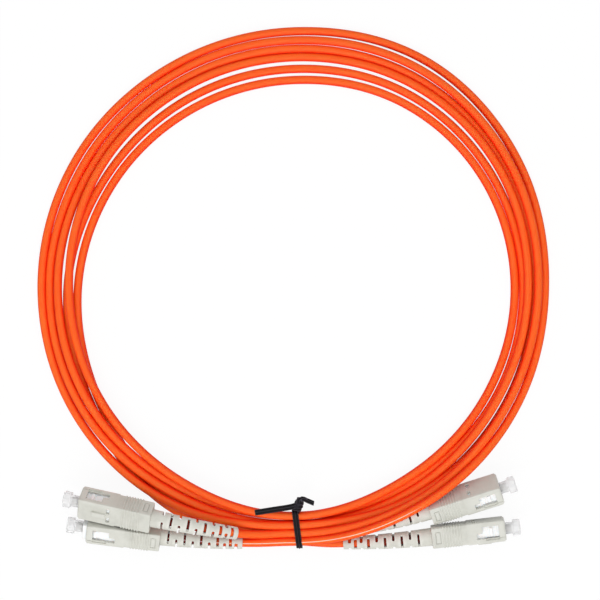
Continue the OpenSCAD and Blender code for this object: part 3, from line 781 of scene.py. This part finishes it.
class Graph:
    """A node tree, with short ways to add what the looks share. Each returns the new node's output."""

    def __init__(self, tree):
        self.nodes, self.links = tree.nodes, tree.links

    def fill(self, node, inputs):
        """Each input is linked to an output or set to a plain value."""
        for key, value in inputs.items():
            if isinstance(value, bpy.types.NodeSocket):
                self.links.new(value, node.inputs[key])
            else:
                node.inputs[key].default_value = value
        return node

    def source(self, kind, output):
        return self.nodes.new(kind).outputs[output]

    def noise(self, vector, scale, detail=3.0, rough=0.55):
        return self.fill(self.nodes.new("ShaderNodeTexNoise"), {
            "Vector": vector, "Scale": scale, "Detail": detail, "Roughness": rough}).outputs["Fac"]

    def scaled(self, vector, scale):
        return self.fill(self.nodes.new("ShaderNodeMapping"), {
            "Vector": vector, "Scale": scale}).outputs["Vector"]

    def ramp(self, value, stops):
        node = self.nodes.new("ShaderNodeValToRGB")
        el = node.color_ramp.elements
        el[0].position, el[0].color = stops[0]
        el[1].position, el[1].color = stops[-1]
        for pos, col in stops[1:-1]:
            el.new(pos).color = col
        return self.fill(node, {"Fac": value}).outputs["Color"]

    def spread(self, value, low, high, start=0.0, stop=1.0):
        """From low where value is at start or before to high where it's at stop or after."""
        return self.fill(self.nodes.new("ShaderNodeMapRange"), {
            "Value": value, "From Min": start, "From Max": stop,
            "To Min": low, "To Max": high}).outputs["Result"]

    def calc(self, operation, *values):
        node = self.nodes.new("ShaderNodeMath")
        node.operation = operation
        return self.fill(node, dict(enumerate(values))).outputs["Value"]

    def blend(self, factor, a, b):
        node = self.nodes.new("ShaderNodeMix")
        node.data_type = "RGBA"
        return self.fill(node, {"Factor": factor, "A": a, "B": b}).outputs["Result"]

    def bump(self, height, strength, distance=FINE_DEPTH):
        return self.fill(self.nodes.new("ShaderNodeBump"), {
            "Strength": strength, "Distance": distance, "Height": height}).outputs["Normal"]

    def edges(self, low, high):
        """0 on flat faces and 1 on outer edges."""
        point = self.source("ShaderNodeNewGeometry", "Pointiness")
        return self.ramp(point, [(low, BLACK), (high, WHITE)])

    def within(self, value, a, b, soft):
        """1 from a to b and 0 elsewhere, with soft ends."""
        return self.calc("MULTIPLY", self.spread(value, 0.0, 1.0, a - soft, a + soft),
                         self.spread(value, 1.0, 0.0, b - soft, b + soft))

    def surface(self, share, first, second):
        """The material's surface: the first shader, with a share of the second."""
        node = self.fill(self.nodes.new("ShaderNodeMixShader"), {"Fac": share, 1: first, 2: second})
        self.fill(self.nodes["Material Output"], {"Surface": node.outputs["Shader"]})


def material(name):
    mat = bpy.data.materials.new(name)
    mat.use_nodes = True
    graph = Graph(mat.node_tree)
    return mat, graph, graph.nodes["Principled BSDF"]


def plastic(name, base, dark, light, rough, grain=9000.0, grain_bump=0.12, spec=0.4, sss=0.0):
    """Moulded plastic: slow mottling, fine spark-eroded grain, handled edges a little paler."""
    mat, g, bsdf = material(name)
    co = g.source("ShaderNodeTexCoord", "Object")
    slow = g.noise(co, 260.0, detail=4.0, rough=0.6)
    mottled = g.ramp(slow, [(0.3, dark), (0.52, base), (0.75, light)])
    g.fill(bsdf, {
        "Base Color": g.blend(g.edges(0.5, 0.62), mottled, light),
        "Roughness": g.spread(slow, rough - 0.06, rough + 0.08),
        "Normal": g.bump(g.noise(co, grain, detail=2.0), grain_bump),
        "Specular IOR Level": spec,
    })
    if sss:
        g.fill(bsdf, {"Subsurface Weight": sss, "Subsurface Radius": PLASTIC_SSS_RADIUS,
                      "Subsurface Scale": 1.0})
    return mat


def jacket_material(name, length, scar_end=None):
    """Extruded jacket: drawn streaks, painted shade that turns the flanks deeper red than the upper side, and
    painted shade on the ends inside the boots.
    A pale parting line runs along the top from the start to scar_end, in metres."""
    mat, g, bsdf = material(name)
    uv = g.source("ShaderNodeTexCoord", "UV")
    split = g.fill(g.nodes.new("ShaderNodeSeparateXYZ"), {"Vector": uv}).outputs
    around, along = split["X"], split["Y"]
    streak = g.noise(g.scaled(uv, (14.0, 26.0, 1.0)), 1.0, detail=4.0)
    slow = g.noise(g.scaled(uv, (1.5, 9.0, 1.0)), 1.0)
    drawn = g.ramp(streak, [(0.25, lin(255, 92, 24)), (0.5, lin(255, 106, 33)), (0.8, lin(255, 116, 42))])
    tint = g.ramp(slow, [(0.3, lin(255, 98, 26)), (0.7, lin(255, 112, 40))])
    # painted shade: round the jacket, the flanks are coloured deeper red than the upper side
    painted_flank_shade = g.ramp(around, [(0.27, WHITE), (0.43, BLACK), (0.57, BLACK), (0.73, WHITE)])
    color = g.blend(painted_flank_shade, g.blend(0.45, drawn, tint), lin(255, 28, 3))
    # painted shade: the jacket grows darker towards each end, where it lies inside a boot
    from_middle = g.calc("ABSOLUTE", g.calc("SUBTRACT", along, length / 2))
    ends = g.spread(from_middle, 0.0, 1.0, length / 2 - BOOT_SHADE_FROM, length / 2 - BOOT_SHADE_FULL)
    color = g.blend(ends, color, lin(112, 22, 10))
    if scar_end:
        scar = g.calc("MULTIPLY", g.within(along, 0.0, scar_end, SCAR_END_SOFT),
                      g.within(around, SCAR_U - SCAR_HALF, SCAR_U + SCAR_HALF, SCAR_SIDE_SOFT))
        color = g.blend(scar, color, lin(255, 222, 205))
    g.fill(bsdf, {
        "Base Color": color,
        "Roughness": g.spread(streak, 0.38, 0.52),
        "Normal": g.bump(g.noise(g.source("ShaderNodeTexCoord", "Object"), 6000.0), 0.10),
        "Specular IOR Level": 0.16,
        "Subsurface Weight": 0.75,
        "Subsurface Radius": JACKET_SSS_RADIUS,
        "Subsurface Scale": 1.0,
    })
    return mat


def metal(name, base, rough):
    mat, g, bsdf = material(name)
    co = g.source("ShaderNodeTexCoord", "Object")
    n = g.noise(g.scaled(co, (900.0, 900.0, 900.0)), 1.0, detail=5.0)
    dark = tuple(c * 0.72 for c in base[:3]) + (1,)
    g.fill(bsdf, {
        "Base Color": g.ramp(n, [(0.3, dark), (0.65, base)]),
        "Metallic": 1.0,
        "Roughness": g.spread(n, rough - 0.08, rough + 0.14),
        "Normal": g.bump(n, 0.15, distance=0.00004),
    })
    return mat


def cap_material():
    """Milky polyethylene: light passes through its walls and the table shows through faintly."""
    mat, g, bsdf = material("cap_milky")
    co = g.source("ShaderNodeTexCoord", "Object")
    slow = g.noise(co, 420.0, detail=4.0)
    g.fill(bsdf, {
        "Base Color": g.ramp(slow, [(0.3, lin(249, 249, 250)), (0.7, lin(254, 254, 254))]),
        "Roughness": g.spread(slow, 0.30, 0.46),
        "Normal": g.bump(g.noise(co, 5200.0, detail=2.0), 0.08),
        "Specular IOR Level": 0.3,
        "Subsurface Weight": 1.0,
        "Subsurface Radius": CAP_SSS_RADIUS,
        "Subsurface Scale": 1.0,
    })
    clear = g.fill(g.nodes.new("ShaderNodeBsdfTransparent"), {"Color": (0.985, 0.985, 0.99, 1)})
    g.surface(g.spread(slow, 0.50, 0.62), bsdf.outputs["BSDF"], clear.outputs["BSDF"])
    return mat


def tie_material():
    mat, g, bsdf = material("tie_black")
    co = g.source("ShaderNodeTexCoord", "Object")
    n = g.noise(co, 900.0, detail=5.0, rough=0.65)
    dull = g.ramp(n, [(0.3, lin(10, 9, 11)), (0.55, lin(20, 18, 20)), (0.8, lin(40, 36, 38))])
    g.fill(bsdf, {
        "Base Color": g.blend(g.edges(0.51, 0.58), dull, lin(66, 62, 72)),
        "Roughness": g.spread(n, 0.42, 0.66),
        "Normal": g.bump(g.noise(co, 3500.0), 0.35, distance=0.00006),
        "Specular IOR Level": 0.14,
    })
    return mat


# the pale parting line runs from strand b's start to the point nearest this one in its first stretch
SCAR_END_AT, FIRST_STRETCH = (42.0, -75.5), 200
s_b = distances(path_b)
first = s_b < FIRST_STRETCH
near = np.linalg.norm(path_b[:, :2] - np.array(SCAR_END_AT), axis=1)
scar_end = float(s_b[first][np.argmin(near[first])] * MM)

mats = {
    "cord_a": jacket_material("jacket_orange_a", len_a),
    "cord_b": jacket_material("jacket_orange_b", len_b, scar_end),
    "grip": plastic("grip_grey", lin(206, 206, 197), lin(196, 196, 187), lin(214, 214, 206), 0.46,
                    sss=0.04),
    "frame": plastic("frame_white", lin(250, 250, 250), lin(243, 243, 244), lin(253, 253, 253), 0.34,
                     spec=0.5, sss=0.35),
    "boot": plastic("boot_grey", lin(209, 208, 199), lin(198, 197, 188), lin(217, 216, 208), 0.55,
                    grain=7000.0, grain_bump=0.2),
    "cap": cap_material(),
    "tie": tie_material(),
    "zirconia": plastic("zirconia_white", lin(238, 236, 228), lin(228, 226, 218), lin(246, 245, 240), 0.16,
                        grain=4000.0, grain_bump=0.03, spec=0.7),
    "steel": metal("steel_turned", (0.72, 0.72, 0.73, 1), 0.28),
    "brass": metal("crimp_plated", (0.78, 0.68, 0.42, 1), 0.32),
    "tube": plastic("tube_clear", lin(226, 226, 218), lin(214, 214, 206), lin(236, 236, 230), 0.3),
    "buffer": plastic("buffer_cream", lin(240, 228, 192), lin(228, 214, 176), lin(246, 238, 210), 0.42),
}


def paint(obj, mat):
    obj.data.materials.clear()
    obj.data.materials.append(mat)


paint(cord_a, mats["cord_a"])
paint(cord_b, mats["cord_b"])
paint(tie, mats["tie"])
for i in "1234":
    paint(bpy.data.objects["grip_shell_" + i], mats["grip"])
    paint(bpy.data.objects["frame_insert_" + i], mats["frame"])
    paint(bpy.data.objects["boot_sleeve_" + i], mats["boot"])
    paint(bpy.data.objects["cap_moulding_" + i], mats["cap"])
    for node, key in (("ferrule_", "zirconia"), ("flange_", "steel"), ("spring_", "steel"),
                      ("stop_body_", "steel"), ("guide_tube_", "tube"), ("buffer_", "buffer"),
                      ("crimp_ring_", "brass")):
        obj = frame["nodes"][node + i]
        for s in obj.material_slots:
            s.material = mats[key]
        if not obj.material_slots:
            obj.data.materials.append(mats[key])


# ---------------------------------------------------------------- floor, lights, world
FLOOR_HALF = 3.0
# grey that the part sees, near-white that the camera sees, and how much of what it sees is plain glow
FLOOR_GREY, FLOOR_WHITE, FLOOR_GLOW = (0.50, 0.50, 0.50, 1), (0.98, 0.98, 0.98, 1), 0.92
WORLD_LIGHT = 0.72


def stage_floor():
    e = FLOOR_HALF
    obj = new_object("floor", [(-e, -e, 0), (e, -e, 0), (e, e, 0), (-e, e, 0)], [(0, 1, 2, 3)])
    mat, g, bsdf = material("floor_pale")
    ray = g.nodes.new("ShaderNodeLightPath").outputs
    seen = g.calc("MAXIMUM", g.calc("MAXIMUM", ray["Is Camera Ray"], ray["Is Glossy Ray"]),
                  ray["Is Transmission Ray"])
    g.fill(bsdf, {"Base Color": g.blend(seen, FLOOR_GREY, FLOOR_WHITE), "Roughness": 0.9,
                  "Specular IOR Level": 0.1})
    glow = g.fill(g.nodes.new("ShaderNodeEmission"), {"Color": WHITE, "Strength": 1.0})
    g.surface(g.calc("MULTIPLY", seen, FLOOR_GLOW), bsdf.outputs["BSDF"], glow.outputs["Emission"])
    obj.data.materials.append(mat)


def area(name, loc, size, watts):
    """A square light that points at the middle of the table."""
    light = bpy.data.lights.new(name, "AREA")
    light.shape = "SQUARE"
    light.size = size
    light.energy = watts
    obj = bpy.data.objects.new(name, light)
    obj.location = loc
    obj.rotation_euler = (-Vector(loc)).to_track_quat("-Z", "Y").to_euler()
    scene.collection.objects.link(obj)


stage_floor()
area("key_light", (-0.15, -0.95, 1.1), 0.9, 8.0)
area("top_light", (0.1, 0.2, 1.4), 0.6, 2.0)

world = bpy.data.worlds.new("world")
scene.world = world
world.use_nodes = True
sky = Graph(world.node_tree)
# the sky looks as white as the floor past its far edge, and lights the part less than that
sky.fill(sky.nodes["Background"], {
    "Color": WHITE,
    "Strength": sky.spread(sky.source("ShaderNodeLightPath", "Is Camera Ray"), WORLD_LIGHT, 1.0),
})
